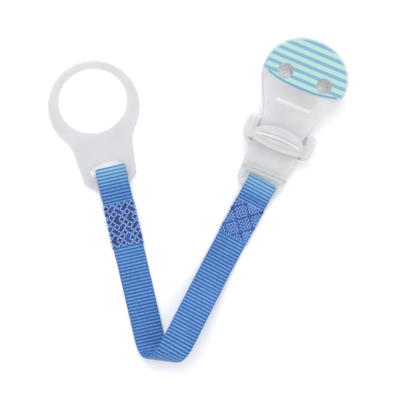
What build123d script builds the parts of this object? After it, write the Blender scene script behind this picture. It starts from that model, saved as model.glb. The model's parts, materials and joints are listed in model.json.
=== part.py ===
import os
from math import cos, radians, sin, tan

from build123d import *

os.makedirs("parts", exist_ok=True)

# A soother holder: a locking garment clip, a grosgrain ribbon laid in a V, and a holder ring.
# Frame: the clip lies along +Y with its head at +Y and its strap end at -Y, its underside on Z = 0.
# The origin is on that underside, on the centre line, at the line where the front jaw ends.

# ---- clip: outline shared by both jaws, measured from the front jaw's end -----------------------
body_width = 20.0
head_width = 35.3
head_widest = 43.4          # where the head is widest
head_tip = 58.4
neck_start = 20.5           # where the body begins to flare into the neck
neck_lower_pull = 8.0       # how long the flare keeps the body's direction
neck_upper_pull = 6.9       # how long it keeps the head's direction
vent_radius = 3.2
vent_spacing = 16.9
vent_from_end = 42.4

# ---- clip: heights ------------------------------------------------------------------------------
plate_thickness = 1.65
waist_lift = 1.65           # room under the waist for the collar's back wall
root_height = 3.3
edge_round = 0.5

# ---- clip: jaw hinge, a bead snapped into a groove ----------------------------------------------
pivot_y = 1.4
bead_radius = 1.25
bead_length = 16.0
hinge_clearance = 0.08
lip_height = 4.1
lip_thickness = 0.95
lip_overhang = 0.6
root_step = 3.0             # where the root block ends and the waist begins
jaw_end = 0.7               # where the front jaw's plate begins, clear of the lip
jaw_angle = 9.0             # how far the front jaw stands open at rest
jaw_closed_angle = 6.84     # with the collar locked

# ---- clip: grip pads ----------------------------------------------------------------------------
pad_width = 15.8
pad_start = 31.8
pad_length = 9.6
pad_face_height = 4.55      # tips of the lower pad's teeth
pad_closed_gap = 0.2
tooth_count = 5
tooth_depth = 0.6

# ---- clip: opening spring, a tongue cut in the waist --------------------------------------------
tongue_width = 10.6
tongue_tip = 7.4
tongue_tip_rise = 2.0
tongue_root = 22.5
tongue_slit = 0.8
tongue_nose_height = 0.7
tongue_nose_from_tip = 1.6
tongue_nose_radius = 1.0

# ---- clip: strap end ----------------------------------------------------------------------------
strap_end_length = 7.2
strap_end_height = 2.5
strap_end_corner = 3.8
clip_slot_start = 1.3
clip_bar_width = 2.8
slot_width = 16.0
slot_corner = 0.8

# ---- collar -------------------------------------------------------------------------------------
collar_side_room = 1.65     # lets the collar slide up onto the neck before it locks
collar_length = 9.9
collar_centre = 16.4
collar_side_wall = 3.55
collar_width = body_width + 2 * (collar_side_room + collar_side_wall)
collar_back_wall = 1.3
collar_front_wall = 1.5
collar_clearance = 0.2
collar_corner = 3.0         # seen along the clip
ear_corner = 2.4            # seen from above
ridge_height = 1.2
ridge_offset = -1.2         # thumb ridge, from the collar's middle
ridge_end_height = 0.5
brow_half_width = 10.6
brow_peak = 3.4             # head-side arc of the front wall
brow_foot = -0.4
chin_peak = -6.1            # strap-side arc of the front wall
chin_foot = -4.9

# ---- printed film -------------------------------------------------------------------------------
film_thickness = 0.2
film_rim = 0.9
film_edge_middle = 37.5
film_edge_side = 40.0

# ---- ribbon -------------------------------------------------------------------------------------
ribbon_width = 12.7
ribbon_thickness = 0.8
ribbon_clearance = 0.3
thread_height = 0.2
thread_overhang = 0.35
fold_radius = 6.2
fold_descent = 20.0         # how steeply the upper leg comes down from the fold
fold_sections = 13
landing_radius = 45.0       # how gently it meets its lower level
step_down_length = 5.0      # where a doubled stretch becomes a single one

clip_leg_offset = 1.0       # the ribbon sits off centre in the clip's slot
clip_leg_bend = 2.25        # from the origin back to the ribbon's bend in the slot
clip_leg_swing = 5.65
clip_leg_length = 78.3
clip_axis_out = 7.4         # from the bend in the slot to the axis that the strap swings about
clip_patch_start = 11.5
clip_patch_length = 16.0

legs_angle = 41.2
fold_advance = 10.9         # how far the ribbon travels along the crease in the fold
ring_leg_length = 75.0
ring_axis_out = 12.3
ring_patch_start = 15.8
ring_patch_length = 18.4
turn_back_overlap = 1.5     # the turned-back end passes the stitching

# ---- ring ---------------------------------------------------------------------------------------
ring_thickness = 2.3
ring_outer_radius = 19.3
ring_hole_wide = 29.2
ring_hole_long = 27.1
ring_hole_shift = 2.4
ring_edge_round = 0.7
ring_offset = -0.95         # the ribbon sits off centre in the ring's slot
ring_bend = 26.25           # from the ring's centre to the ribbon's bend in the slot
tail_shoulder = 19.0
tail_shoulder_width = 25.0
tail_corner = 31.6
tail_corner_width = 22.3
tail_end = 36.6
tail_blend = 14.0
tail_corner_round = 2.0
ring_slot_top = 23.9
ring_slot_side = 26.4
ring_slot_bottom = 28.3
panel_depth = 0.35
panel_start = 13.9
panel_rim = 2.1
panel_corner = 2.0


# ---- worked-out places --------------------------------------------------------------------------
def direction(degrees_from_y):
    """Unit vector in the table's plane, turned clockwise from +Y."""
    a = radians(degrees_from_y)
    return Vector(sin(a), cos(a), 0)


clip_leg_heading = 180 + clip_leg_swing
ring_leg_heading = clip_leg_swing - legs_angle        # from the fold up to the ring
crease_heading = (clip_leg_swing + ring_leg_heading) / 2 + 90
clip_leg_dir = direction(clip_leg_heading)
ring_leg_dir = direction(ring_leg_heading)
ring_right = direction(ring_leg_heading + 90)
crease_dir = direction(crease_heading)
out_dir = direction(crease_heading + 90)              # from the legs towards the fold
up = Vector(0, 0, 1)
lean = radians(legs_angle / 2)

clip_bend_point = Vector(clip_leg_offset, -clip_leg_bend, 0)
clip_fold_point = clip_bend_point + clip_leg_dir * clip_leg_length
ring_fold_point = clip_fold_point - crease_dir * fold_advance
ring_bend_point = ring_fold_point + ring_leg_dir * ring_leg_length
ring_centre = ring_bend_point + ring_leg_dir * ring_bend + ring_right * ring_offset

bar_underside = thread_height + ribbon_thickness + ribbon_clearance
pivot_z = root_height
jaw_rise = radians(jaw_angle)
jaw_along = Vector(0, cos(jaw_rise), sin(jaw_rise))
jaw_plane = Plane(
    origin=Vector(0, pivot_y, pivot_z) - jaw_along * pivot_y,
    x_dir=(1, 0, 0),
    z_dir=(0, -sin(jaw_rise), cos(jaw_rise)),
)
jaw_section = Plane(origin=jaw_plane.origin, x_dir=jaw_along, z_dir=(1, 0, 0))
closing = radians(jaw_angle - jaw_closed_angle)
closed_section = Plane(
    origin=(0, pivot_y, pivot_z), x_dir=(0, cos(closing), sin(closing)), z_dir=(1, 0, 0)
)
ring_plane = Plane(origin=ring_centre, x_dir=-ring_right, z_dir=(0, 0, 1))

collar_head_edge = collar_centre + collar_length / 2
collar_inner_bottom = waist_lift - collar_clearance
collar_inner_top = (
    pivot_z
    + (collar_head_edge - pivot_y) * tan(jaw_rise)
    + plate_thickness / cos(jaw_rise)
    + collar_clearance
)
collar_top = collar_inner_top + collar_front_wall
collar_bottom = collar_inner_bottom - collar_back_wall


# ---- outlines -----------------------------------------------------------------------------------
def jaw_outline(inset=0.0):
    """The jaws' outline as a face, or one that keeps an inset from it."""
    half_head = head_width / 2 - inset
    half_body = body_width / 2 - inset
    with BuildSketch() as outline:
        with BuildLine():
            flare = Bezier(
                (half_head, head_widest),
                (half_head, head_widest - neck_upper_pull),
                (half_body, neck_start + neck_lower_pull),
                (half_body, neck_start),
            )
            side = Line(flare @ 1, (half_body, inset))
            foot = Line(side @ 1, (0, inset))
            Line(foot @ 1, (0, head_tip - inset))
            rise = head_tip - inset - head_widest
            EllipticalCenterArc((0, head_widest), half_head, rise, start_angle=0, arc_size=90)
        make_face()
        mirror(about=Plane.YZ)
    return outline.sketch


with BuildSketch() as vents:
    with Locations((-vent_spacing / 2, vent_from_end), (vent_spacing / 2, vent_from_end)):
        Circle(vent_radius)

def toothed_edge(height, depth):
    """Points along a grip pad's face, from its strap side to its head side."""
    pitch = pad_length / tooth_count
    points = [(pad_start, height)]
    for i in range(tooth_count):
        points.append((pad_start + pitch * (i + 0.5), height - depth))
        points.append((pad_start + pitch * (i + 1), height))
    return points


# ---- base jaw -----------------------------------------------------------------------------------
jog_start = neck_start + 7.6
jog_end = jog_start + 2.8
with BuildPart() as base_jaw:
    with BuildSketch(Plane.YZ):
        with BuildLine():
            Polyline(
                (0, 0),
                (root_step, 0),
                (root_step, waist_lift),
                (jog_start, waist_lift),
                (jog_end, 0),
                (head_tip, 0),
                (head_tip, plate_thickness),
                (jog_end + 0.3, plate_thickness),
                (jog_start + 0.3, root_height),
                (0, root_height),
                close=True,
            )
        make_face()
    extrude(amount=head_width, both=True)
    with BuildSketch():
        add(jaw_outline())
    extrude(amount=root_height, mode=Mode.INTERSECT)
    # Strap end: a plate with a slot, and a bar thinned underneath for the ribbon's back layer.
    with BuildSketch():
        with Locations((0, -strap_end_length / 2)):
            Rectangle(body_width, strap_end_length)
    extrude(amount=strap_end_height)
    fillet(base_jaw.edges().filter_by(Axis.Z).group_by(Axis.Y)[0], strap_end_corner)
    slot_length = strap_end_length - clip_slot_start - clip_bar_width
    with BuildSketch():
        with Locations((0, -clip_slot_start - slot_length / 2)):
            RectangleRounded(slot_width, slot_length, slot_corner)
    extrude(amount=strap_end_height, mode=Mode.SUBTRACT)
    with BuildSketch():
        with Locations((0, -strap_end_length)):
            Rectangle(slot_width, clip_bar_width * 2)
    extrude(amount=bar_underside, mode=Mode.SUBTRACT)
    # Hinge lip and groove.
    with BuildSketch(Plane.YZ):
        with Locations(((lip_overhang - lip_thickness) / 2, lip_height / 2)):
            Rectangle(lip_overhang + lip_thickness, lip_height)
    extrude(amount=bead_length / 2, both=True)
    with BuildSketch(Plane.YZ):
        with Locations((pivot_y, pivot_z)):
            Circle(bead_radius + hinge_clearance)
    extrude(amount=body_width, both=True, mode=Mode.SUBTRACT)
    # Lower grip pad.
    with BuildSketch(Plane.YZ):
        with BuildLine():
            face_line = toothed_edge(pad_face_height, tooth_depth)
            Polyline(*face_line, (pad_start + pad_length, 0.5), (pad_start, 0.5), close=True)
        make_face()
    extrude(amount=pad_width / 2, both=True)
    # Opening spring.
    with BuildSketch(Plane.XY.offset(waist_lift)):
        with BuildLine():
            tip = ThreePointArc(
                (-tongue_width / 2, tongue_tip + tongue_tip_rise),
                (0, tongue_tip),
                (tongue_width / 2, tongue_tip + tongue_tip_rise),
            )
            Polyline(
                tip @ 1,
                (tongue_width / 2, tongue_root),
                (-tongue_width / 2, tongue_root),
                tip @ 0,
            )
        tongue = make_face()
        offset(amount=tongue_slit, mode=Mode.ADD)
        add(tongue, mode=Mode.SUBTRACT)
        with Locations((0, tongue_root + tongue_slit)):
            Rectangle(body_width, tongue_slit * 2, mode=Mode.SUBTRACT)
    extrude(amount=plate_thickness, mode=Mode.SUBTRACT)
    with BuildSketch(Plane.YZ):
        nose_centre = root_height + tongue_nose_height - tongue_nose_radius
        with Locations((tongue_tip + tongue_nose_from_tip, nose_centre)):
            Circle(tongue_nose_radius)
    extrude(amount=tongue_width / 4, both=True)
    with BuildSketch():
        add(vents.sketch)
    extrude(amount=plate_thickness, mode=Mode.SUBTRACT)
base_jaw.part.label = "base_jaw"
export_step(base_jaw.part, "parts/base_jaw.step")


# ---- printed film, laid in a recess of the front jaw --------------------------------------------
with BuildPart() as face_film:
    with BuildSketch(jaw_plane.offset(plate_thickness - film_thickness)):
        add(jaw_outline(film_rim))
    extrude(amount=film_thickness)
    with BuildSketch(jaw_plane):
        with BuildLine():
            edge = ThreePointArc(
                (-head_width / 2, film_edge_side), (0, film_edge_middle), (head_width / 2, film_edge_side)
            )
            Polyline(edge @ 1, (head_width / 2, head_tip), (-head_width / 2, head_tip), edge @ 0)
        make_face()
    extrude(amount=2 * plate_thickness, mode=Mode.INTERSECT)
    with BuildSketch(jaw_plane):
        add(vents.sketch)
    extrude(amount=2 * plate_thickness, mode=Mode.SUBTRACT)
face_film.part.label = "face_film"
export_step(face_film.part, "parts/face_film.step")


# ---- front jaw ----------------------------------------------------------------------------------
with BuildPart() as front_jaw:
    with BuildSketch(jaw_plane):
        add(jaw_outline())
        with Locations((0, jaw_end / 2)):
            Rectangle(body_width, jaw_end, mode=Mode.SUBTRACT)
    extrude(amount=plate_thickness)
    top_face = front_jaw.faces().sort_by(Axis((0, 0, 0), jaw_plane.z_dir))[-1]
    fillet(top_face.edges(), edge_round)
    with BuildSketch(jaw_section):
        with Locations((pivot_y, 0)):
            Circle(bead_radius)
    extrude(amount=bead_length / 2, both=True)
    # Upper grip pad, drawn as it stands when the jaw is closed.
    with BuildSketch(closed_section):
        pad_bottom = pad_face_height + pad_closed_gap
        pad_end = pad_start + pad_length
        rise = tan(radians(jaw_closed_angle))
        with BuildLine():
            points = toothed_edge(pad_bottom, -tooth_depth)
            points.append((pad_end, pivot_z + (pad_end - pivot_y) * rise + 0.5))
            points.append((pad_start, pivot_z + (pad_start - pivot_y) * rise + 0.5))
            Polyline(*[(y - pivot_y, z - pivot_z) for y, z in points], close=True)
        make_face()
    extrude(amount=pad_width / 2, both=True)
    with BuildSketch(jaw_plane):
        add(vents.sketch)
    extrude(amount=plate_thickness, mode=Mode.SUBTRACT)
    add(face_film.part, mode=Mode.SUBTRACT)
front_jaw.part.label = "front_jaw"
export_step(front_jaw.part, "parts/front_jaw.step")

# ---- collar -------------------------------------------------------------------------------------
with BuildPart() as collar:
    collar_height = collar_top - collar_bottom
    with BuildSketch(Plane.XZ.offset(-collar_head_edge)):
        with Locations((0, collar_bottom + collar_height / 2)):
            RectangleRounded(collar_width, collar_height, collar_corner)
        inner_height = collar_inner_top - collar_inner_bottom
        with Locations((0, collar_inner_bottom + inner_height / 2)):
            inner_width = collar_width - 2 * collar_side_wall
            RectangleRounded(inner_width, inner_height, 0.8, mode=Mode.SUBTRACT)
    extrude(amount=collar_length)
    with BuildSketch():
        with Locations((0, collar_centre)):
            RectangleRounded(collar_width, collar_length, ear_corner)
    extrude(amount=collar_top, mode=Mode.INTERSECT)
    # The front wall is a lens seen from above, with a thumb ridge across it.
    with BuildSketch(Plane.XY.offset(collar_inner_top)):
        with Locations((0, collar_centre)):
            Rectangle(2 * brow_half_width, 2 * collar_length)
    extrude(amount=collar_front_wall, mode=Mode.SUBTRACT)
with BuildPart() as front_wall:
    with BuildSketch(Plane.XY.offset(collar_inner_top)):
        with BuildLine():
            brow = ThreePointArc(
                (brow_half_width, collar_centre + brow_foot),
                (0, collar_centre + brow_peak),
                (-brow_half_width, collar_centre + brow_foot),
            )
            chin = ThreePointArc(
                (-brow_half_width, collar_centre + chin_foot),
                (0, collar_centre + chin_peak),
                (brow_half_width, collar_centre + chin_foot),
            )
            Line(brow @ 1, chin @ 0)
            Line(chin @ 1, brow @ 0)
        make_face()
    extrude(amount=collar_front_wall + ridge_height)
    with BuildSketch(Plane.YZ):
        ridge_y = collar_centre + ridge_offset
        with BuildLine():
            Polyline(
                (collar_centre + chin_peak, collar_inner_top),
                (collar_centre + chin_peak, collar_top - ridge_height / 3),
                (ridge_y, collar_top + ridge_height),
                (collar_centre + brow_peak, collar_top - ridge_height / 3),
                (collar_centre + brow_peak, collar_inner_top),
                close=True,
            )
        make_face()
    extrude(amount=brow_half_width, both=True, mode=Mode.INTERSECT)
    with BuildSketch(Plane.XZ.offset(-collar_head_edge)):
        with BuildLine():
            crown = ThreePointArc(
                (-brow_half_width, collar_top + ridge_end_height / 2),
                (0, collar_top + ridge_height),
                (brow_half_width, collar_top + ridge_end_height / 2),
            )
            Polyline(
                crown @ 1,
                (brow_half_width, collar_inner_top),
                (-brow_half_width, collar_inner_top),
                crown @ 0,
            )
        make_face()
    extrude(amount=2 * collar_length, mode=Mode.INTERSECT)
with collar:
    add(front_wall.part)
collar.part.label = "collar"
export_step(collar.part, "parts/collar.step")


# ---- ribbon -------------------------------------------------------------------------------------
def side_plane(start, along):
    """A vertical plane through the ribbon's centre line; its X runs along the ribbon, its Y up."""
    return Plane(origin=start, x_dir=along, z_dir=along.cross(up))


clip_side = side_plane(clip_bend_point, clip_leg_dir)
ring_side = side_plane(ring_bend_point, -ring_leg_dir)
layer_low = thread_height
layer_middle = layer_low + ribbon_thickness
layer_high = layer_middle + ribbon_thickness
clip_over_bar = strap_end_height + ribbon_clearance
ring_over_bar = ring_thickness + ribbon_clearance


def loop_profile(over_bar, axis_out):
    """The ribbon round a bar: over it, through the slot and back under it, as far as the axis."""
    outer = (over_bar + ribbon_thickness - layer_low) / 2
    inner = outer - ribbon_thickness
    with BuildSketch() as profile:
        with Locations((outer, layer_low + outer)):
            Circle(outer)
        with Locations((outer, layer_low)):
            Rectangle(axis_out - outer, 2 * outer, align=(Align.MIN, Align.MIN))
        with Locations((outer, layer_low + outer)):
            Circle(inner, mode=Mode.SUBTRACT)
        with Locations((outer, layer_middle)):
            Rectangle(axis_out, 2 * inner, align=(Align.MIN, Align.MIN), mode=Mode.SUBTRACT)
    return profile.sketch


def doubled_profile(over_bar, axis_out, patch_start, back_end, run_out):
    """Corners of the ribbon from the axis on: two layers that close at the stitching, then one."""
    return [
        (axis_out, over_bar + ribbon_thickness),
        (patch_start, layer_high),
        (back_end, layer_high),
        *[(x, z + ribbon_thickness) for x, z in run_out],
        *reversed(run_out),
        (back_end, layer_middle),
        (back_end, layer_low),
        (axis_out, layer_low),
        (axis_out, layer_middle),
        (patch_start, layer_middle),
        (axis_out, over_bar),
    ]


clip_patch_end = clip_patch_start + clip_patch_length
ring_patch_end = ring_patch_start + ring_patch_length

with BuildPart() as strap_clip_loop:
    with BuildSketch(clip_side):
        add(loop_profile(clip_over_bar, clip_axis_out))
    extrude(amount=ribbon_width / 2, both=True)
strap_clip_loop.part.label = "strap_clip_loop"
export_step(strap_clip_loop.part, "parts/strap_clip_loop.step")

with BuildPart() as strap_ring_loop:
    with BuildSketch(ring_side):
        add(loop_profile(ring_over_bar, ring_axis_out))
    extrude(amount=ribbon_width / 2, both=True)
strap_ring_loop.part.label = "strap_ring_loop"
export_step(strap_ring_loop.part, "parts/strap_ring_loop.step")

# The fold: the ribbon climbs from the table round a drum and leaves it coming down again.
fold_middle = thread_height + ribbon_thickness / 2 + fold_radius
fold_turn = 180 + fold_descent
width_along_crease = ribbon_width / cos(lean)
fold_end_out = fold_radius * sin(radians(fold_turn))
fold_end_height = fold_middle - fold_radius * cos(radians(fold_turn))
fold_end_advance = fold_advance - fold_end_out * tan(lean)
fold_start_pace = fold_radius * radians(fold_turn) * tan(lean)


def fold_travel(share):
    """How far along the crease the ribbon has gone, leaving and arriving at the legs' pace."""
    rest = fold_end_advance - fold_start_pace
    return fold_start_pace * share + rest * share * share * (3 - 2 * share)


with BuildPart() as strap_fold:
    for i in range(fold_sections):
        share = i / (fold_sections - 1)
        turn = radians(fold_turn * share)
        place = (
            ring_fold_point
            + out_dir * (fold_radius * sin(turn))
            + up * (fold_middle - fold_radius * cos(turn))
            + crease_dir * fold_travel(share)
        )
        heading = out_dir * cos(turn) + up * sin(turn)
        with BuildSketch(Plane(origin=place, x_dir=crease_dir, z_dir=heading)):
            Rectangle(width_along_crease, ribbon_thickness)
    loft(ruled=True)
strap_fold.part.label = "strap_fold"
export_step(strap_fold.part, "parts/strap_fold.step")

# The leg to the ring lies on the table up to the fold.
with BuildPart() as strap_ring_leg:
    with BuildSketch(ring_side):
        step_end = ring_patch_end + turn_back_overlap + step_down_length
        far_end = ring_leg_length + ribbon_width
        corners = doubled_profile(
            ring_over_bar,
            ring_axis_out,
            ring_patch_start,
            ring_patch_end + turn_back_overlap,
            [(step_end, layer_low), (far_end, layer_low)],
        )
        with BuildLine():
            Polyline(*corners, close=True)
        make_face()
    extrude(amount=ribbon_width / 2, both=True)
    split(bisect_by=Plane(origin=ring_fold_point, z_dir=-out_dir))
strap_ring_leg.part.label = "strap_ring_leg"
export_step(strap_ring_leg.part, "parts/strap_ring_leg.step")

# The leg to the clip comes down from the fold and lands on its own turned-back end.
descent = radians(fold_descent)
landing_drop = landing_radius * (1 - cos(descent))
slope_drop = fold_end_height - (layer_middle + ribbon_thickness / 2) - landing_drop
slope_run = slope_drop / tan(descent)
slope_drop_end = fold_end_height - slope_drop
landing_start = fold_end_out - slope_run
landing_end = landing_start - landing_radius * sin(descent)
single_start = clip_leg_length + landing_end / cos(lean) - ribbon_width / 2 * tan(lean)

landing_level = slope_drop_end - landing_drop


def landing_at(turn, radius):
    """A point of the landing arc, turn radians before it lies flat."""
    return (landing_end + radius * sin(turn), landing_level + landing_radius - radius * cos(turn))


with BuildPart() as strap_clip_leg:
    with BuildSketch(Plane(origin=clip_fold_point, x_dir=out_dir, z_dir=out_dir.cross(up))):
        half = ribbon_thickness / 2
        across = Vector(-sin(descent), cos(descent)) * half
        start = Vector(fold_end_out, fold_end_height)
        with BuildLine():
            over = ThreePointArc(
                *[landing_at(turn, landing_radius - half) for turn in (descent, descent / 2, 0)]
            )
            under = ThreePointArc(
                *[landing_at(turn, landing_radius + half) for turn in (0, descent / 2, descent)]
            )
            Polyline(under @ 1, start - across, start + across, over @ 0)
            flat_end = landing_end - ribbon_width
            Polyline(
                over @ 1, (flat_end, landing_level + half), (flat_end, landing_level - half), under @ 0
            )
        make_face()
    extrude(amount=clip_leg_length, both=True)
    with BuildSketch(Plane(origin=clip_fold_point, x_dir=-clip_leg_dir, z_dir=up)):
        with Locations((clip_leg_length / 2 - ribbon_width, 0)):
            Rectangle(clip_leg_length + ribbon_width, ribbon_width)
    extrude(amount=4 * fold_radius, mode=Mode.INTERSECT)
    with BuildSketch(clip_side):
        corners = doubled_profile(
            clip_over_bar,
            clip_axis_out,
            clip_patch_start,
            clip_patch_end + turn_back_overlap,
            [(single_start, layer_middle)],
        )
        with BuildLine():
            Polyline(*corners, close=True)
        make_face()
    extrude(amount=ribbon_width / 2, both=True)
strap_clip_leg.part.label = "strap_clip_leg"
export_step(strap_clip_leg.part, "parts/strap_clip_leg.step")


# ---- stitching: a flat sleeve of thread round both layers ---------------------------------------
def sleeve(plane, start, length):
    """Thread over, under and beside the doubled ribbon."""
    across = ribbon_width + 2 * thread_overhang
    with BuildPart() as thread:
        with BuildSketch(Plane(origin=plane.origin, x_dir=plane.x_dir, z_dir=up)):
            with Locations((start + length / 2, 0)):
                Rectangle(length, across)
        extrude(amount=layer_high + thread_height)
        with BuildSketch(plane):
            with Locations((start + length / 2, (layer_low + layer_high) / 2)):
                Rectangle(length, layer_high - layer_low)
        extrude(amount=ribbon_width / 2, both=True, mode=Mode.SUBTRACT)
    return thread.part


with BuildPart() as clip_end_stitching:
    add(sleeve(clip_side, clip_patch_start, clip_patch_length))
clip_end_stitching.part.label = "clip_end_stitching"
export_step(clip_end_stitching.part, "parts/clip_end_stitching.step")

with BuildPart() as ring_end_stitching:
    add(sleeve(ring_side, ring_patch_start, ring_patch_length))
ring_end_stitching.part.label = "ring_end_stitching"
export_step(ring_end_stitching.part, "parts/ring_end_stitching.step")


# ---- ring ---------------------------------------------------------------------------------------
side_slope = (tail_shoulder_width - tail_corner_width) / 2 / (tail_corner - tail_shoulder)
root_half_width = tail_shoulder_width / 2 + side_slope * tail_shoulder
with BuildSketch() as ring_outline:
    Circle(ring_outer_radius)
    with BuildLine():
        nose = ThreePointArc(
            (tail_corner_width / 2, tail_corner), (0, tail_end), (-tail_corner_width / 2, tail_corner)
        )
        Polyline(nose @ 1, (-root_half_width, 0), (root_half_width, 0), nose @ 0)
    make_face()
    joints = ring_outline.vertices().group_by(Axis.Y)
    fillet(joints[0], tail_blend)
    fillet(ring_outline.vertices().group_by(Axis.Y)[-1], tail_corner_round)

with BuildPart() as ring:
    with BuildSketch(ring_plane):
        add(ring_outline.sketch)
        with Locations((0, -ring_hole_shift)):
            Ellipse(ring_hole_wide / 2, ring_hole_long / 2, mode=Mode.SUBTRACT)
    extrude(amount=ring_thickness)
    flats = ring.faces().filter_by(Axis.Z)
    fillet(flats.edges(), ring_edge_round)
    with BuildSketch(ring_plane.offset(ring_thickness - panel_depth)):
        add(ring_outline.sketch)
        offset(amount=-panel_rim, mode=Mode.REPLACE)
        with Locations((0, (panel_start + tail_end) / 2)):
            panel_length = tail_end - panel_start
            RectangleRounded(tail_shoulder_width, panel_length, panel_corner, mode=Mode.INTERSECT)
    extrude(amount=panel_depth, mode=Mode.SUBTRACT)
    with BuildSketch(ring_plane):
        with BuildLine():
            arch = ThreePointArc(
                (-slot_width / 2, ring_slot_side), (0, ring_slot_top), (slot_width / 2, ring_slot_side)
            )
            Polyline(
                arch @ 1,
                (slot_width / 2, ring_slot_bottom),
                (-slot_width / 2, ring_slot_bottom),
                arch @ 0,
            )
        make_face()
    extrude(amount=ring_thickness, mode=Mode.SUBTRACT)
    with BuildSketch(ring_plane):
        with Locations((0, (ring_slot_bottom + tail_end) / 2)):
            Rectangle(slot_width, tail_end - ring_slot_bottom + slot_corner)
    extrude(amount=bar_underside, mode=Mode.SUBTRACT)
ring.part.label = "ring"
export_step(ring.part, "parts/ring.step")
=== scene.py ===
import bpy
import json
from functools import partial
from math import atan, cos, hypot, pi, radians, sin, sqrt, tan
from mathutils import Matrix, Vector


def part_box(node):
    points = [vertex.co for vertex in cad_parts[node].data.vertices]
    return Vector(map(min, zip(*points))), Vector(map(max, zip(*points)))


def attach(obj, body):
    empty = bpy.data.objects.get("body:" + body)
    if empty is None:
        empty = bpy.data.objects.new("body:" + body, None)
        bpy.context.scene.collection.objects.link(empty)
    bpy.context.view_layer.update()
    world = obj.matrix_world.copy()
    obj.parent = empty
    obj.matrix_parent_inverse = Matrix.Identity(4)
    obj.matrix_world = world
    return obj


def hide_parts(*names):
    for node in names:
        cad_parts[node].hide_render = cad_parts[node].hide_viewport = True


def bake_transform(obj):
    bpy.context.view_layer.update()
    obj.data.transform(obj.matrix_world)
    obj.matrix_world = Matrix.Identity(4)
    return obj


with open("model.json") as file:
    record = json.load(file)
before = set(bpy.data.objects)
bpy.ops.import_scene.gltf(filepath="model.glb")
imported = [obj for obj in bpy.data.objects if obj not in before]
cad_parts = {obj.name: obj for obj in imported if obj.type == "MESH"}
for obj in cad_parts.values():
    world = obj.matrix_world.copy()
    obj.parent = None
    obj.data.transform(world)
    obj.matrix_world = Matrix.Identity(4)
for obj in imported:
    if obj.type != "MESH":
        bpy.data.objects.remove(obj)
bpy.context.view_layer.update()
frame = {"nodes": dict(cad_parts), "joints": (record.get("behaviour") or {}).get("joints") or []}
joints = {joint["name"]: joint for joint in frame["joints"]}
up = Vector((0, 0, 1))
mm = 0.001


def jointPlace(name):
    # pivot and axis of a joint, in the frame
    joint = joints[name]
    return Vector(joint["pos_m"]), Vector(joint["axis"]).normalized()


def flat(v):
    return Vector((v.x, v.y, 0))


def smoothStep(x):
    x = min(max(x, 0), 1)
    return x * x * (3 - 2 * x)


def clearSelection():
    bpy.ops.object.select_all(action="DESELECT")


def makeObject(name, points, faces, uvs=None):
    # a closed mesh from its points, with a texture place for every point if given
    mesh = bpy.data.meshes.new(name)
    mesh.from_pydata(points, [], faces)
    mesh.update()
    if uvs:
        uvLayer = mesh.uv_layers.new(name="UVMap")
        for loop in mesh.loops:
            uvLayer.data[loop.index].uv = uvs[loop.vertex_index]
    obj = bpy.data.objects.new(name, mesh)
    bpy.context.scene.collection.objects.link(obj)
    clearSelection()
    obj.select_set(True)
    bpy.context.view_layer.objects.active = obj
    bpy.ops.object.mode_set(mode="EDIT")
    bpy.ops.mesh.select_all(action="SELECT")
    bpy.ops.mesh.normals_make_consistent(inside=False)
    bpy.ops.object.mode_set(mode="OBJECT")
    bpy.ops.object.shade_smooth()
    clearSelection()
    return obj


# helpers for materials: most add nodes to a tree and return the socket that the next node reads
def newMaterial(name):
    material = bpy.data.materials.new(name)
    material.use_nodes = True
    tree = material.node_tree
    return material, tree, tree.nodes["Principled BSDF"]


def addNode(tree, kind, **settings):
    node = tree.nodes.new(kind)
    for key, value in settings.items():
        setattr(node, key, value)
    return node


def objectPlace(tree):
    return addNode(tree, "ShaderNodeTexCoord").outputs["Object"]


def splitNode(tree, source):
    node = addNode(tree, "ShaderNodeSeparateXYZ")
    tree.links.new(source, node.inputs[0])
    return node.outputs


def mathNode(tree, operation, a, b=None):
    # a and b are sockets or numbers
    node = addNode(tree, "ShaderNodeMath", operation=operation)
    for slot, value in enumerate((a, b)):
        if value is None:
            continue
        if isinstance(value, (int, float)):
            node.inputs[slot].default_value = value
        else:
            tree.links.new(value, node.inputs[slot])
    return node.outputs[0]


def archNode(tree, source, count):
    # arches from nothing to one, as many as count for each unit of the source
    turn = mathNode(tree, "MULTIPLY", source, pi * count)
    return mathNode(tree, "ABSOLUTE", mathNode(tree, "SINE", turn))


def weighNode(tree, a, weightA, b, weightB):
    weighedA = mathNode(tree, "MULTIPLY", a, weightA)
    weighedB = mathNode(tree, "MULTIPLY", b, weightB)
    return mathNode(tree, "ADD", weighedA, weighedB)


def rampNode(tree, source, stops):
    node = addNode(tree, "ShaderNodeValToRGB")
    ramp = node.color_ramp
    while len(ramp.elements) < len(stops):
        ramp.elements.new(0.5)
    for element, (place, colour) in zip(ramp.elements, stops):
        element.position = place
        element.color = (*colour, 1)
    tree.links.new(source, node.inputs[0])
    return node.outputs[0]


def mixNode(tree, mask, colour, other):
    # other is a fixed colour or a socket; inputs 6 and 7 and output 2 carry the colours
    node = addNode(tree, "ShaderNodeMix", data_type="RGBA")
    tree.links.new(mask, node.inputs["Factor"])
    tree.links.new(colour, node.inputs[6])
    if isinstance(other, tuple):
        node.inputs[7].default_value = (*other, 1)
    else:
        tree.links.new(other, node.inputs[7])
    return node.outputs[2]


def noiseNode(tree, coords, scale, detail=3.0):
    node = addNode(tree, "ShaderNodeTexNoise")
    node.inputs["Scale"].default_value = scale
    node.inputs["Detail"].default_value = detail
    tree.links.new(coords, node.inputs["Vector"])
    return node.outputs["Fac"]


def bumpNode(tree, height, strength, distance):
    node = addNode(tree, "ShaderNodeBump")
    node.inputs["Strength"].default_value = strength
    node.inputs["Distance"].default_value = distance
    tree.links.new(height, node.inputs["Height"])
    return node.outputs[0]


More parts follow.
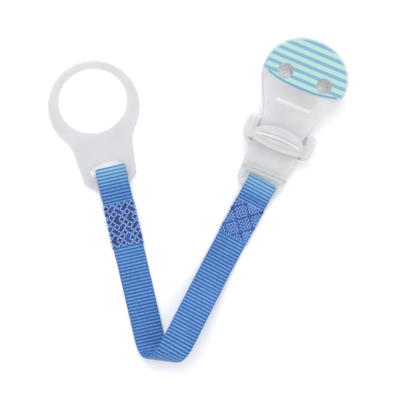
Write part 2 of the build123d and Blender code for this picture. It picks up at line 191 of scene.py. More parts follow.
# ribbon: one strip from the ring's slot, round the fold, to the clip's slot
ribbon = {
    "width": 12.7 * mm,
    "ribPitch": 1.42 * mm,
    "crest": 0.40 * mm,         # half the thickness on a rib
    "groove": 0.25 * mm,        # half the thickness between ribs
    "edge": 0.55,               # share of the thickness left at the two edges
    "scallop": 0.22 * mm,       # how far the edge dips between ribs
    "rowsPerRib": 8,
    "columns": 12,
    "descent": radians(20),     # slope of the upper leg where it leaves the fold
    "landingRadius": 45 * mm,   # curve that lays the upper leg down
    "foldAdvance": 10.9 * mm,   # how far the fold carries the ribbon along the crease
    "foldAxisOut": 0.6 * mm,    # from the fold's middle surface out to its joint's axis
    "foldMargin": 2 * mm,       # straight ribbon that belongs to the fold's rows at each side
    "clipAxisOut": 7.4 * mm,    # from the bend in the clip's slot to that joint's axis
    "ringAxisOut": 12.3 * mm,   # the same at the ring
    "clipPatch": (11.5 * mm, 27.5 * mm),    # start and end of the stitching, from the bend
    "ringPatch": (15.8 * mm, 34.2 * mm),
    "dropStart": 4.3 * mm,      # before the stitching the upper layer starts to come down here
    "dropEnd": 0.2 * mm,        # and lies on the lower one here
    "backPast": 1.5 * mm,       # how far the turned-back end passes the stitching
    "stepDown": 5 * mm,         # run in which the ring's leg then drops to the table
    "cornerCut": 2.2 * mm,      # corners of the side view are rounded within this length
    "barSteps": 24,
    "loopPast": 0.6 * mm,       # each loop piece ends this far before the stitching
}
thickness = 2 * ribbon["crest"]

foldLow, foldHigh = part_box("strap_fold")
foldRadius = (foldHigh.z - foldLow.z - thickness) / 2
lowLevel = foldLow.z + thickness / 2      # middle of the layer that lies lowest
topLevel = lowLevel + thickness           # middle of the layer on it
drumHeight = lowLevel + foldRadius
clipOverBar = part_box("strap_clip_loop")[1].z - thickness / 2
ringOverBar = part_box("strap_ring_loop")[1].z - thickness / 2

clipPivot, clipAxis = jointPlace("strap_swing")
foldPivot, foldAxis = jointPlace("fold_open")
ringPivot, ringAxis = jointPlace("ring_swing")
clipDir = up.cross(clipAxis)              # from the clip towards the fold
ringDir = up.cross(ringAxis)              # from the fold towards the ring
outDir = up.cross(foldAxis)               # from the legs towards the fold
creaseDir = up.cross(outDir)
lean = clipDir.angle(outDir)

clipBend = flat(clipPivot) - clipDir * ribbon["clipAxisOut"]
ringBend = flat(ringPivot) + ringDir * ribbon["ringAxisOut"]
foldLine = flat(foldPivot) - outDir * (foldRadius + ribbon["foldAxisOut"])
ringLegLength = (foldLine - ringBend).dot(outDir) / cos(lean)
clipLegLength = (foldLine - clipBend).dot(outDir) / cos(lean)
foldOrigin = ringBend - ringDir * ringLegLength

# the fold's roll, the slope down from it and the curve that lands on the lower leg
descent = ribbon["descent"]
landingRadius = ribbon["landingRadius"]
turnAll = pi + descent
arcLength = foldRadius * turnAll
endOut = foldRadius * sin(turnAll)
endHeight = drumHeight - foldRadius * cos(turnAll)
endAdvance = ribbon["foldAdvance"] - endOut * tan(lean)
startPace = arcLength * tan(lean)
slopeRun = (endHeight - topLevel - landingRadius * (1 - cos(descent))) / tan(descent)
slopeLength = slopeRun / cos(descent)
landingRun = landingRadius * sin(descent)
landingLength = landingRadius * descent
layLength = arcLength + slopeLength + landingLength

# how far along the ribbon the clip's slot is
flatRun = clipLegLength * cos(lean) + endOut - slopeRun - landingRun
clipEndAlong = (layLength + flatRun) / cos(lean)


def foldPoint(along, across):
    # middle surface and its normal, along the ribbon from the fold line of the ring leg
    sigma = along * cos(lean) - across * sin(lean)
    side = across / cos(lean)
    if sigma <= 0:
        out, height, normal, travel = sigma, lowLevel, (0, 1), sigma * tan(lean)
    elif sigma <= arcLength:
        share = sigma / arcLength
        turn = turnAll * share
        out = foldRadius * sin(turn)
        height = drumHeight - foldRadius * cos(turn)
        normal = (-sin(turn), cos(turn))
        travel = startPace * share + (endAdvance - startPace) * smoothStep(share)
    else:
        beyond = sigma - arcLength
        if beyond <= slopeLength:
            turn = descent
            out = endOut - beyond * cos(descent)
            height = endHeight - beyond * sin(descent)
        elif beyond <= slopeLength + landingLength:
            turn = descent - (beyond - slopeLength) / landingRadius
            out = endOut - slopeRun - landingRadius * (sin(descent) - sin(turn))
            height = topLevel + landingRadius * (1 - cos(turn))
        else:
            turn = 0
            out = endOut - slopeRun - landingRun - (beyond - slopeLength - landingLength)
            height = topLevel
        normal = (sin(turn), -cos(turn))
        travel = endAdvance + (endOut - out) * tan(lean)
    place = foldOrigin + outDir * out + creaseDir * (travel + side) + up * height
    return place, outDir * normal[0] + up * normal[1]


def sidePath(corners, bends=12):
    # a smooth line through corners in the ribbon's own side view, cut corners rounded
    path = [corners[0]]
    for before, corner, after in zip(corners, corners[1:], corners[2:]):
        a, b, c = Vector(before), Vector(corner), Vector(after)
        reach = min((b - a).length, (c - b).length, ribbon["cornerCut"]) / 2
        start = b + (a - b).normalized() * reach
        end = b + (c - b).normalized() * reach
        for i in range(bends + 1):
            t = i / bends
            point = start * (1 - t) ** 2 + b * 2 * t * (1 - t) + end * t * t
            path.append((point.x, point.y))
    path.append(corners[-1])
    return path


def endPath(overBar, patch, farEnd, farLevel):
    # from the turned-back end, round the bar, over it and through the stitching
    patchStart, patchEnd = patch
    backEnd = patchEnd + ribbon["backPast"]
    roll = (overBar - lowLevel) / 2
    barCentre = roll + thickness / 2
    path = [(backEnd, lowLevel), (barCentre, lowLevel)]
    for i in range(1, ribbon["barSteps"]):
        turn = pi * i / ribbon["barSteps"]
        path.append((barCentre - roll * sin(turn), lowLevel + roll * (1 - cos(turn))))
    path.append((barCentre, overBar))
    upper = [
        (barCentre, overBar),
        (patchStart - ribbon["dropStart"], overBar),
        (patchStart - ribbon["dropEnd"], topLevel),
        (backEnd, topLevel),
    ]
    if farLevel < topLevel:
        upper.append((backEnd + ribbon["stepDown"], farLevel))
    upper.append((farEnd, farLevel))
    return path + sidePath(upper)[1:]


def walk(path, step):
    # points and directions at even steps along a path
    steps = []
    lengths = [0]
    for a, b in zip(path, path[1:]):
        lengths.append(lengths[-1] + hypot(b[0] - a[0], b[1] - a[1]))
    total = lengths[-1]
    count = int(round(total / step))
    piece = 0
    for i in range(count + 1):
        distance = total * i / count
        while piece < len(path) - 2 and lengths[piece + 1] < distance:
            piece += 1
        span = max(lengths[piece + 1] - lengths[piece], 1e-9)
        share = (distance - lengths[piece]) / span
        a, b = path[piece], path[piece + 1]
        x = a[0] + (b[0] - a[0]) * share
        z = a[1] + (b[1] - a[1]) * share
        steps.append((x, z, (b[0] - a[0]) / span, (b[1] - a[1]) / span))
    return steps


# rows of the ribbon, from its turned-back end at the ring to the one at the clip:
# the stretch, then the place along it, and for the two ends the height and the direction
rowsPerRib = ribbon["rowsPerRib"]
rowStep = ribbon["ribPitch"] / rowsPerRib
halfSkew = ribbon["width"] / 2 * tan(lean)
foldStart = -halfSkew - ribbon["foldMargin"]
flatStart = layLength / cos(lean) + halfSkew
foldCount = int((flatStart - foldStart) / rowStep)
clipMeet = clipEndAlong - (foldStart + foldCount * rowStep)
ringPath = endPath(ringOverBar, ribbon["ringPatch"], ringLegLength + foldStart, lowLevel)
clipPath = endPath(clipOverBar, ribbon["clipPatch"], clipMeet, topLevel)
rows = [("ring", *spot) for spot in walk(ringPath, rowStep)]
rows += [("fold", foldStart + i * rowStep, 0, 0, 0) for i in range(1, foldCount)]
rows += [("clip", *spot) for spot in reversed(walk(clipPath, rowStep))]
print("ribbon path ready:", len(rows), "rows")


def creaseSide(towards):
    # the side of a leg that lies along the crease direction
    side = up.cross(towards)
    return side if side.dot(creaseDir) > 0 else -side


def rowPoint(row, across):
    # middle surface and its normal at a place across one row
    kind, x, z, dx, dz = row
    if kind == "fold":
        return foldPoint(x, across)
    if kind == "ring":
        place = ringBend - ringDir * x + creaseSide(ringDir) * across + up * z
        return place, ringDir * dz + up * dx
    place = clipBend + clipDir * x + creaseSide(clipDir) * across + up * z
    return place, clipDir * dz - up * dx


# material of the ribbon: fine lengthwise threads over rounded cross ribs, with painted shade in the
# grooves, a painted highlight on each crest and a painted highlight on the ribs beside each slot
ribbonLook = {
    "threads": 46,              # lengthwise threads across the width
    "threadShade": 0.14,
    "fuzzScale": 900,
    "fuzzShade": 0.5,
    "patchScale": 60,
    "patchShade": 0.3,
    "colours": [
        (0.15, (0.008, 0.045, 0.211)),
        (0.55, (0.024, 0.134, 0.429)),
        (0.80, (0.045, 0.203, 0.551)),
        (1.00, (0.121, 0.324, 0.664)),
    ],
    # painted highlight: the ribs beside each slot, where the ribbon bends over the bar, are painted
    # paler
    "paintedShine": (0.22, 0.50, 0.66),
    "paintedShineRibs": 6.5,           # how many ribs beside a slot look paler
    "paintedShineMost": 0.75,
    "roughness": 0.5,
    "sheen": 0.25,
    "sheenRoughness": 0.5,
    "threadBump": 0.7,
    "fuzzBump": 0.5,
    "bump": 0.5,
    "bumpDepth": 0.08 * mm,
}


def makeRibbonMaterial(slotRibs):
    look = ribbonLook
    material, tree, shader = newMaterial("blueGrosgrain")
    maths = partial(mathNode, tree)
    uv = addNode(tree, "ShaderNodeUVMap", uv_map="UVMap")
    across, along, _ = splitNode(tree, uv.outputs[0])
    ribWave = archNode(tree, along, 1)
    threadWave = archNode(tree, across, look["threads"])
    place = objectPlace(tree)
    fuzz = noiseNode(tree, place, look["fuzzScale"])
    patchy = noiseNode(tree, place, look["patchScale"])
    speckle = weighNode(
        tree,
        maths("SUBTRACT", fuzz, 0.5), look["fuzzShade"],
        maths("SUBTRACT", patchy, 0.5), look["patchShade"],
    )
    threadShade = maths("MULTIPLY", threadWave, look["threadShade"])
    threadShade = maths("ADD", threadShade, 1 - look["threadShade"])
    shade = maths("MULTIPLY", maths("ADD", ribWave, speckle), threadShade)
    # the ramp paints shade into the grooves between the ribs and a highlight on their crests
    colour = rampNode(tree, shade, look["colours"])
    # paint a highlight on the crests of the ribs beside each slot
    for rib in slotRibs:
        away = maths("ABSOLUTE", maths("SUBTRACT", along, rib))
        paintedShineMask = maths("SUBTRACT", 1, maths("DIVIDE", away, look["paintedShineRibs"]))
        paintedShineMask = maths("MULTIPLY", maths("MAXIMUM", paintedShineMask, 0), ribWave)
        colour = mixNode(tree, maths("MINIMUM", paintedShineMask, look["paintedShineMost"]), colour, look["paintedShine"])
    tree.links.new(colour, shader.inputs["Base Color"])
    shader.inputs["Roughness"].default_value = look["roughness"]
    shader.inputs["Sheen Weight"].default_value = look["sheen"]
    shader.inputs["Sheen Roughness"].default_value = look["sheenRoughness"]
    height = weighNode(tree, threadWave, look["threadBump"], fuzz, look["fuzzBump"])
    bump = bumpNode(tree, height, look["bump"], look["bumpDepth"])
    tree.links.new(bump, shader.inputs["Normal"])
    return material


def slotRib(kind):
    # the rib in the middle of a slot, where the row lies furthest round the bar
    ends = [(row[1], index) for index, row in enumerate(rows) if row[0] == kind]
    return min(ends)[1] / rowsPerRib


ribbonMaterial = makeRibbonMaterial([slotRib("ring"), slotRib("clip")])


def ribbonPiece(name, first, last):
    # a closed length of ribbon between two rows
    points = []
    uvs = []
    columns = ribbon["columns"]
    for index in range(first, last + 1):
        rib = sqrt(abs(sin(pi * (index % rowsPerRib) / rowsPerRib)))
        half = ribbon["groove"] + (ribbon["crest"] - ribbon["groove"]) * rib
        halfWidth = ribbon["width"] / 2 - ribbon["scallop"] * (1 - rib)
        for face in (1, -1):
            for column in range(columns + 1):
                share = 2 * column / columns - 1
                rim = ribbon["edge"] if column in (0, columns) else 1
                place, normal = rowPoint(rows[index], face * share * halfWidth)
                points.append(place + normal * half * rim * face)
                uvs.append((face * share / 2 + 0.5, index / rowsPerRib))
    around = 2 * (columns + 1)
    faces = []
    for row in range(last - first):
        for corner in range(around):
            a = row * around + corner
            b = row * around + (corner + 1) % around
            faces.append((a, b, around + b, around + a))
    faces.append(tuple(range(around)))
    end = (last - first) * around
    faces.append(tuple(end + corner for corner in reversed(range(around))))
    obj = makeObject(name, points, faces, uvs)
    obj.data.materials.append(ribbonMaterial)
    return obj


def grooveNear(kind, value, forward=True):
    # the groove row nearest a place along a stretch, on its upper layer or its turned-back one
    best = None
    for index, row in enumerate(rows):
        if row[0] != kind or (kind != "fold" and (row[3] > 0) != forward):
            continue
        gap = abs(row[1] - value)
        if best is None or gap < best[0]:
            best = (gap, index)
    return round(best[1] / rowsPerRib) * rowsPerRib


ringCut = ribbon["ringPatch"][0] - ribbon["loopPast"]
clipCut = ribbon["clipPatch"][0] - ribbon["loopPast"]
cuts = [
    0,
    grooveNear("ring", ringCut, forward=False),
    grooveNear("ring", ringCut),
    grooveNear("fold", -halfSkew),
    grooveNear("fold", arcLength / cos(lean) + halfSkew),
    grooveNear("clip", clipCut),
    grooveNear("clip", clipCut, forward=False),
    (len(rows) - 1) // rowsPerRib * rowsPerRib,
]
pieces = {
    "ribbonRingEnd": "laid",
    "ribbonRingLoop": "folded",
    "ribbonRingLeg": "laid",
    "ribbonFold": "folded",
    "ribbonClipLeg": "laid",
    "ribbonClipLoop": "folded",
    "ribbonClipEnd": "laid",
}
cloth = {name: ribbonPiece(name, *span) for name, span in zip(pieces, zip(cuts, cuts[1:]))}
for name in ("ribbonRingEnd", "ribbonRingLeg"):
    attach(cloth[name], "ring_leg")
for name in ("ribbonClipEnd", "ribbonClipLeg"):
    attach(cloth[name], "clip_leg")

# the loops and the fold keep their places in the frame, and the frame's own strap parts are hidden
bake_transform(cloth["ribbonRingLoop"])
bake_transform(cloth["ribbonClipLoop"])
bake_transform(cloth["ribbonFold"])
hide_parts("strap_ring_loop")
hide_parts("strap_ring_leg")
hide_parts("strap_fold")
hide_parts("strap_clip_leg")
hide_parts("strap_clip_loop")
print("ribbon made:", len(cloth), "pieces, cut at rows", cuts)


# stitching: a puffed bed of thread with pale stitches in a lattice
stitching = {
    "overhang": 0.30 * mm,      # how far the bed passes the ribbon's edges
    "bedTop": 0.03 * mm,        # how far the bed's valleys stand over the ribbon
    "puff": 0.13 * mm,          # how far its cushions stand over the valleys
    "grid": 0.24 * mm,
    "fade": 0.5 * mm,           # the bed thins out to its edges within this run
    "edgeDrop": 0.25 * mm,      # how far its edges sink into the ribbon
    "sinkUntil": 0.9,           # share of the fade from which it sinks no more
    "scallop": 0.035,           # share of the width that the edge dips between stitches
    "scallopInside": 0.4,       # share of that dip inside the edge
    "stitchWidth": 0.40 * mm,
    "stitchHeight": 0.34 * mm,
    "endMargin": 0.35 * mm,     # no stitch lies nearer to the start or end of the bed
    "sidePast": 0.1 * mm,       # a stitch's middle may pass the ribbon's edge by this
    "under": 0.01 * mm,         # how far the lower stitches' middles lie below the ribbon
}
# the ring's end has long stitches on navy, the clip's end short ones on mid blue
weaves = {
    "ring": {
        "patch": ribbon["ringPatch"],
        "cell": 2.8 * mm,
        "stitchLength": 2.0 * mm,
        "missing": 6,           # one stitch in so many is left out
        "bed": [(0.003, 0.014, 0.10), (0.008, 0.050, 0.26), (0.020, 0.130, 0.46)],
    },
    "clip": {
        "patch": ribbon["clipPatch"],
        "cell": 1.95 * mm,
        "stitchLength": 0.95 * mm,
        "missing": 4,
        "bed": [(0.004, 0.022, 0.15), (0.015, 0.090, 0.36), (0.040, 0.190, 0.52)],
    },
}
bedLook = {
    "fuzzScale": 1400,
    "patchScale": 260,
    "fuzzShare": 0.5,
    "levels": (0.38, 0.54, 0.70),
    "roughness": 0.6,
    "sheen": 0.2,
    "bump": 0.6,
    "bumpDepth": 0.10 * mm,
}
stitchLook = {
    "twistScale": 1800,
    "twistShare": 0.35,
    "patchScale": 400,
    "colours": [(0.30, (0.24, 0.46, 0.90)), (0.60, (0.42, 0.64, 1.00))],
    "roughness": 0.45,
    "sheen": 0.3,
    "bump": 0.4,
    "bumpDepth": 0.06 * mm,
}


def finishThread(tree, shader, look, colour, height):
    tree.links.new(colour, shader.inputs["Base Color"])
    shader.inputs["Roughness"].default_value = look["roughness"]
    shader.inputs["Sheen Weight"].default_value = look["sheen"]
    bump = bumpNode(tree, height, look["bump"], look["bumpDepth"])
    tree.links.new(bump, shader.inputs["Normal"])


def makeBedMaterial(name, colours):
    look = bedLook
    material, tree, shader = newMaterial(name)
    place = objectPlace(tree)
    fuzz = noiseNode(tree, place, look["fuzzScale"])
    patchy = noiseNode(tree, place, look["patchScale"])
    mixed = weighNode(tree, fuzz, look["fuzzShare"], patchy, 1 - look["fuzzShare"])
    colour = rampNode(tree, mixed, list(zip(look["levels"], colours)))
    finishThread(tree, shader, look, colour, mixed)
    return material


def makeStitchMaterial():
    look = stitchLook
    material, tree, shader = newMaterial("paleThread")
    place = objectPlace(tree)
    twist = addNode(tree, "ShaderNodeTexWave", wave_type="BANDS", bands_direction="DIAGONAL")
    twist.inputs["Scale"].default_value = look["twistScale"]
    tree.links.new(place, twist.inputs["Vector"])
    strands = twist.outputs["Fac"]
    patchy = noiseNode(tree, place, look["patchScale"])
    mixed = weighNode(tree, strands, look["twistShare"], patchy, 1 - look["twistShare"])
    finishThread(tree, shader, look, rampNode(tree, mixed, look["colours"]), strands)
    return material


stitchMaterial = makeStitchMaterial()


def bedHeight(weave, u, v, edge, rim):
    # how far the bed stands over the ribbon, and how much of its full height is left there
    cell = weave["cell"]
    puff = sqrt(abs(sin(pi * (u + v) / cell) * sin(pi * (u - v) / cell)))
    fade = smoothStep(min(edge, rim) / stitching["fade"])
    return (stitching["bedTop"] + stitching["puff"] * puff) * fade, fade


def makeBed(name, bend, along, side, weave):
    # a closed pad round both layers, puffed up between the lines of the lattice
    patchStart, patchEnd = weave["patch"]
    length = patchEnd - patchStart
    across = ribbon["width"] + 2 * stitching["overhang"]
    nLong = int(length / stitching["grid"])
    nWide = int(across / stitching["grid"])
    top = topLevel + thickness / 2
    bottom = lowLevel - thickness / 2
    points = []
    for face in (1, -1):
        for i in range(nLong + 1):
            for j in range(nWide + 1):
                u = length * i / nLong
                v = across * (j / nWide - 0.5)
                edge = min(i, nLong - i) * stitching["grid"]
                rim = min(j, nWide - j) * stitching["grid"]
                height, fade = bedHeight(weave, u, v, edge, rim)
                sink = 0 if fade > stitching["sinkUntil"] else stitching["edgeDrop"] * (1 - fade)
                z = top + height - sink if face > 0 else bottom - height / 2 + sink
                dip = stitching["scallop"] * (1 - abs(sin(pi * u / weave["cell"])))
                if rim > 0:
                    dip *= stitching["scallopInside"]
                points.append(bend + along * (patchStart + u) + side * v * (1 - dip) + up * z)
    size = (nLong + 1) * (nWide + 1)
    faces = []
    for i in range(nLong):
        for j in range(nWide):
            a = i * (nWide + 1) + j
            b = a + nWide + 1
            faces.append((a, a + 1, b + 1, b))
            faces.append((size + a, size + b, size + b + 1, size + a + 1))
    border = list(range(nWide + 1))
    border += [i * (nWide + 1) + nWide for i in range(1, nLong + 1)]
    border += [nLong * (nWide + 1) + j for j in reversed(range(nWide))]
    border += [i * (nWide + 1) for i in reversed(range(1, nLong))]
    for a, b in zip(border, border[1:] + border[:1]):
        faces.append((a, size + a, size + b, b))
    obj = makeObject(name, points, faces)
    obj.data.materials.append(makeBedMaterial(name + "Thread", weave["bed"]))
    return obj


def stitchSpots(weave):
    # middle and slant of each stitch, in lines across the bed both ways, some left out by a rule
    patchStart, patchEnd = weave["patch"]
    length = patchEnd - patchStart
    cell = weave["cell"]
    margin = stitching["endMargin"]
    halfWidth = ribbon["width"] / 2
    spare = int(halfWidth / cell) + 1
    for slant in (1, -1):
        for line in range(-spare, int(length / cell) + spare + 1):
            for spot in range(int(2 * length / cell) + 1):
                u = (spot + 0.5) * cell / 2
                v = slant * (u - line * cell)
                inside = margin < u < length - margin and abs(v) < halfWidth + stitching["sidePast"]
                if inside and (spot * 5 + line * 3 + slant) % weave["missing"] != 0:
                    yield patchStart + u, v, slant


def makeStitches(name, bend, along, side, weave):
    # one stitch is shaped, then copied to every spot of the lattice, above and below
    clearSelection()
    bpy.ops.mesh.primitive_uv_sphere_add(segments=8, ring_count=5, radius=0.5)
    stitch = bpy.context.object
    stitch.scale = (weave["stitchLength"], stitching["stitchWidth"], stitching["stitchHeight"])
    bpy.ops.object.transform_apply(location=False, rotation=False, scale=True)
    top = topLevel + thickness / 2 + stitching["bedTop"]
    bottom = lowLevel - thickness / 2 - stitching["under"]
    copies = []
    for level in (top, bottom):
        for u, v, slant in stitchSpots(weave):
            copy = stitch.copy()
            copy.data = stitch.data.copy()
            bpy.context.scene.collection.objects.link(copy)
            heading = (along + side * slant).normalized()
            copy.location = bend + along * u + side * v + up * level
            copy.rotation_euler = (0, 0, heading.xy.angle_signed(Vector((1, 0))))
            copies.append(copy)
    bpy.data.objects.remove(stitch)
    clearSelection()
    for copy in copies:
        copy.select_set(True)
    bpy.context.view_layer.objects.active = copies[0]
    bpy.ops.object.join()
    obj = bpy.context.object
    bpy.ops.object.transform_apply(location=True, rotation=True, scale=True)
    bpy.ops.object.shade_smooth()
    obj.name = name
    obj.data.materials.clear()
    obj.data.materials.append(stitchMaterial)
    clearSelection()
    return obj


ringWay = (ringBend, -ringDir, creaseSide(ringDir), weaves["ring"])
clipWay = (clipBend, clipDir, creaseSide(clipDir), weaves["clip"])
ringBed = makeBed("ringStitchBed", *ringWay)
clipBed = makeBed("clipStitchBed", *clipWay)
ringStitches = makeStitches("ringStitches", *ringWay)
clipStitches = makeStitches("clipStitches", *clipWay)
for piece in (ringBed, ringStitches):
    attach(piece, "ring_leg")
for piece in (clipBed, clipStitches):
    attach(piece, "clip_leg")
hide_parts("ring_end_stitching")
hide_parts("clip_end_stitching")
print("stitching made")


# plastics: clear clip and collar, softer and cloudier ring
plastic = {
    "clip": {"colour": (0.79, 0.795, 0.815), "alpha": 0.42, "roughness": 0.20, "grain": 0.05},
    "collar": {"colour": (0.76, 0.765, 0.785), "alpha": 0.45, "roughness": 0.10, "grain": 0.03},
    "ring": {"colour": (0.57, 0.575, 0.605), "alpha": 0.30, "roughness": 0.42, "grain": 0.10},
}
plasticShared = {
    "cloudScale": 120,
    "cloudShade": 0.05,         # how much the colour varies either way
    "cloudLevels": (0.35, 0.65),
    "grainScale": 2600,
    "grainDepth": 0.05 * mm,
    "noiseDetail": 2,
    "ior": 1.49,
}
# lines painted into the plastic's colour, a painted glint on the jaw and painted shade and highlight
# along the collar's ridge: middle, bow, half width, half length, brightness
paintedLightLines = {
    # painted glint of the pad's edge, seen through the front jaw
    "jaw": [(30.1 * mm, 0, 0.85 * mm, 7.7 * mm, 1.0)],
    "collar": [
        # painted shade lines, and one painted highlight at brightness 1.0, along the collar's ridge
        (15.9 * mm, -0.012, 0.22 * mm, 8.5 * mm, 0.52),
        (15.1 * mm, -0.012, 0.40 * mm, 9.5 * mm, 1.0),
        (14.2 * mm, -0.010, 0.22 * mm, 7.5 * mm, 0.50),
        (12.4 * mm, 0.008, 0.25 * mm, 10.5 * mm, 0.62),
    ],
    "firmness": 1.6,            # how quickly a line fades beside its middle
    "endFade": 0.8 * mm,
}
# printed film: stripes across the clip, and a darker line where the print ends
stripes = {
    "pitch": 3.14 * mm,
    "blueCentre": 41.1 * mm,
    "blueShare": 0.45,
    "blue": (0.205, 0.385, 0.535),
    "pale": (0.410, 0.640, 0.585),
    "soft": 0.05,
    "edge": (0.150, 0.330, 0.510),
    "edgeBow": 0.0089,
    "edgeIn": 0.4 * mm,
    "edgeHalf": 0.6 * mm,
    "edgeLength": 15.5 * mm,    # half the length of that line
    "filmThickness": 0.2 * mm,
    "depth": 0.9 * mm,          # how deep the print's colour shows in the head's rim
    "roughness": 0.28,
    "grainScale": 1800,
    "grain": 0.05,
    "grainDepth": 0.04 * mm,
}


def bowNode(tree, x, bow):
    # how far a line bent across the clip lies beyond its middle
    return mathNode(tree, "MULTIPLY", mathNode(tree, "MULTIPLY", x, x), bow / mm)


def lineMask(tree, split, middle, bow, halfWidth, halfLength):
    # one on a line bent across the clip, fading to nothing beside it
    maths = partial(mathNode, tree)
    x, y, _ = split
    away = maths("SUBTRACT", maths("SUBTRACT", y, middle), bowNode(tree, x, bow))
    inLine = maths("SUBTRACT", 1, maths("DIVIDE", maths("ABSOLUTE", away), halfWidth))
    past = maths("SUBTRACT", halfLength, maths("ABSOLUTE", x))
    inLength = maths("DIVIDE", past, paintedLightLines["endFade"])
    both = maths("MINIMUM", maths("MULTIPLY", inLine, paintedLightLines["firmness"]), inLength)
    return maths("MINIMUM", maths("MAXIMUM", both, 0), 1)


def stripeColour(tree, split):
    # the stripes, read along the jaw's own slope, and a mask that ends where the print does
    maths = partial(mathNode, tree)
    low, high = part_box("face_film")
    jawPivot, _ = jointPlace("jaw_open")
    slope = atan((high.z - low.z - stripes["filmThickness"]) / (high.y - low.y))
    x, y, z = split
    yIn = maths("SUBTRACT", y, jawPivot.y)
    zIn = maths("SUBTRACT", z, jawPivot.z)
    along = weighNode(tree, yIn, cos(slope), zIn, sin(slope))
    lift = weighNode(tree, zIn, cos(slope), yIn, -sin(slope))
    start = stripes["blueCentre"] - jawPivot.y - stripes["pitch"] / 2
    phase = maths("DIVIDE", maths("SUBTRACT", along, start), stripes["pitch"])
    away = maths("ABSOLUTE", maths("SUBTRACT", maths("FRACT", phase), 0.5))
    colour = rampNode(tree, maths("MULTIPLY", away, 2), [
        (stripes["blueShare"] - stripes["soft"], stripes["blue"]),
        (stripes["blueShare"] + stripes["soft"], stripes["pale"]),
    ])
    edge = lineMask(
        tree, split, low.y + stripes["edgeIn"],
        stripes["edgeBow"], stripes["edgeHalf"], stripes["edgeLength"],
    )
    colour = mixNode(tree, edge, colour, stripes["edge"])
    beyond = maths("SUBTRACT", y, bowNode(tree, x, stripes["edgeBow"]))
    pastEdge = maths("GREATER_THAN", beyond, low.y)
    faceLift = (low.z - jawPivot.z) * cos(slope) - (low.y - jawPivot.y) * sin(slope)
    onFace = maths("GREATER_THAN", lift, faceLift - stripes["depth"])
    return colour, maths("MULTIPLY", pastEdge, onFace)


def makePlastic(name, look, lines=(), printed=False):
    # the colour is cloudier in places, and a fine grain breaks up the gloss
    shared = plasticShared
    material, tree, shader = newMaterial(name)
    place = objectPlace(tree)
    cloud = noiseNode(tree, place, shared["cloudScale"], shared["noiseDetail"])
    grain = noiseNode(tree, place, shared["grainScale"], shared["noiseDetail"])
    darker = tuple(part * (1 - shared["cloudShade"]) for part in look["colour"])
    lighter = tuple(part * (1 + shared["cloudShade"]) for part in look["colour"])
    colour = rampNode(tree, cloud, list(zip(shared["cloudLevels"], (darker, lighter))))
    split = splitNode(tree, place)
    # paint each given line into the colour: a painted glint, or painted shade or highlight along a
    # ridge
    for *line, level in lines:
        mask = lineMask(tree, split, *line)
        colour = mixNode(tree, mask, colour, (level, level, level))
    if printed:
        stripe, mask = stripeColour(tree, split)
        colour = mixNode(tree, mask, colour, stripe)
    tree.links.new(colour, shader.inputs["Base Color"])
    shader.inputs["Roughness"].default_value = look["roughness"]
    shader.inputs["Alpha"].default_value = look["alpha"]
    shader.inputs["IOR"].default_value = shared["ior"]
    bump = bumpNode(tree, grain, look["grain"], shared["grainDepth"])
    tree.links.new(bump, shader.inputs["Normal"])
    return material


def makeFilm():
    material, tree, shader = newMaterial("stripedFilm")
    place = objectPlace(tree)
    colour, _ = stripeColour(tree, splitNode(tree, place))
    tree.links.new(colour, shader.inputs["Base Color"])
    shader.inputs["Roughness"].default_value = stripes["roughness"]
    grain = noiseNode(tree, place, stripes["grainScale"], plasticShared["noiseDetail"])
    bump = bumpNode(tree, grain, stripes["grain"], stripes["grainDepth"])
    tree.links.new(bump, shader.inputs["Normal"])
    return material


def dress(node, material):
    obj = frame["nodes"][node]
    obj.data.materials.clear()
    obj.data.materials.append(material)


dress("base_jaw", makePlastic("baseJawPlastic", plastic["clip"]))
# the front jaw carries the painted glint
dress("front_jaw", makePlastic("frontJawPlastic", plastic["clip"], paintedLightLines["jaw"], True))
# the collar carries painted shade and a painted highlight along its ridge
dress("collar", makePlastic("collarPlastic", plastic["collar"], paintedLightLines["collar"]))
dress("ring", makePlastic("frostedRingPlastic", plastic["ring"]))
dress("face_film", makeFilm())
print("plastics made")


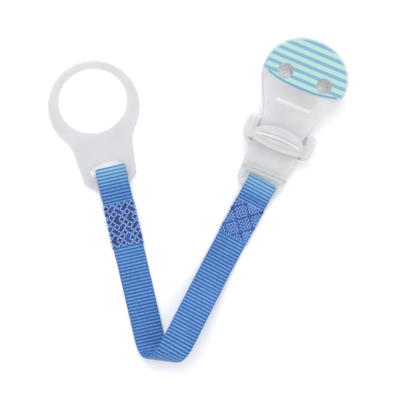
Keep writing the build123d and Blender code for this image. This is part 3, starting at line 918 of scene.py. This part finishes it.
# floor, light and camera
setting = {
    "cameraAt": (-20.4 * mm, -20.4 * mm, 300 * mm),
    "cameraTurn": radians(22.6),
    "fieldOfView": radians(31.5),
    "nearest": 10 * mm,
    "floorSize": 4,
    "floorLevel": -0.1 * mm,
    "floorColour": (0.97, 0.97, 0.97),
    "floorRoughness": 0.9,
    "worldLevel": 0.90,         # light from all round; the camera itself sees it as white
}
lamps = {
    "keyLamp": {"place": (-0.25, 0.35, 0.65), "energy": 2.2, "size": 0.5},
    "fillLamp": {"place": (0.45, -0.25, 0.55), "energy": 0.55, "size": 0.5},
}


def addCamera():
    camera = bpy.data.objects.new("camera", bpy.data.cameras.new("camera"))
    bpy.context.scene.collection.objects.link(camera)
    camera.location = setting["cameraAt"]
    camera.rotation_euler = (0, 0, setting["cameraTurn"])
    camera.data.angle = setting["fieldOfView"]
    camera.data.clip_start = setting["nearest"]
    bpy.context.scene.camera = camera


def addFloor():
    clearSelection()
    bpy.ops.mesh.primitive_plane_add(size=setting["floorSize"], location=(0, 0, setting["floorLevel"]))
    floor = bpy.context.object
    bpy.ops.object.transform_apply(location=True, rotation=True, scale=True)
    floor.name = "floor"
    material, _, shader = newMaterial("paleFloor")
    shader.inputs["Base Color"].default_value = (*setting["floorColour"], 1)
    shader.inputs["Roughness"].default_value = setting["floorRoughness"]
    shader.inputs["Specular IOR Level"].default_value = 0.0
    floor.data.materials.append(material)


def addLamp(name, place, energy, size):
    # an area lamp that faces the origin
    light = bpy.data.lights.new(name, "AREA")
    light.energy = energy
    light.size = size
    lamp = bpy.data.objects.new(name, light)
    bpy.context.scene.collection.objects.link(lamp)
    lamp.location = place
    lamp.rotation_euler = (-Vector(place)).to_track_quat("-Z", "Y").to_euler()


def makeWorld():
    world = bpy.data.worlds.new("world")
    bpy.context.scene.world = world
    world.use_nodes = True
    tree = world.node_tree
    background = tree.nodes["Background"]
    rays = addNode(tree, "ShaderNodeLightPath").outputs
    seen = mathNode(tree, "MAXIMUM", rays["Is Camera Ray"], rays["Is Transmission Ray"])
    extra = mathNode(tree, "MULTIPLY", seen, 1 - setting["worldLevel"])
    level = mathNode(tree, "ADD", extra, setting["worldLevel"])
    background.inputs["Color"].default_value = (1, 1, 1, 1)
    tree.links.new(level, background.inputs["Strength"])


addCamera()
addFloor()
for name, lamp in lamps.items():
    addLamp(name, **lamp)
makeWorld()
bpy.context.scene.view_settings.view_transform = "Standard"
clearSelection()
print("floor, light and camera set")
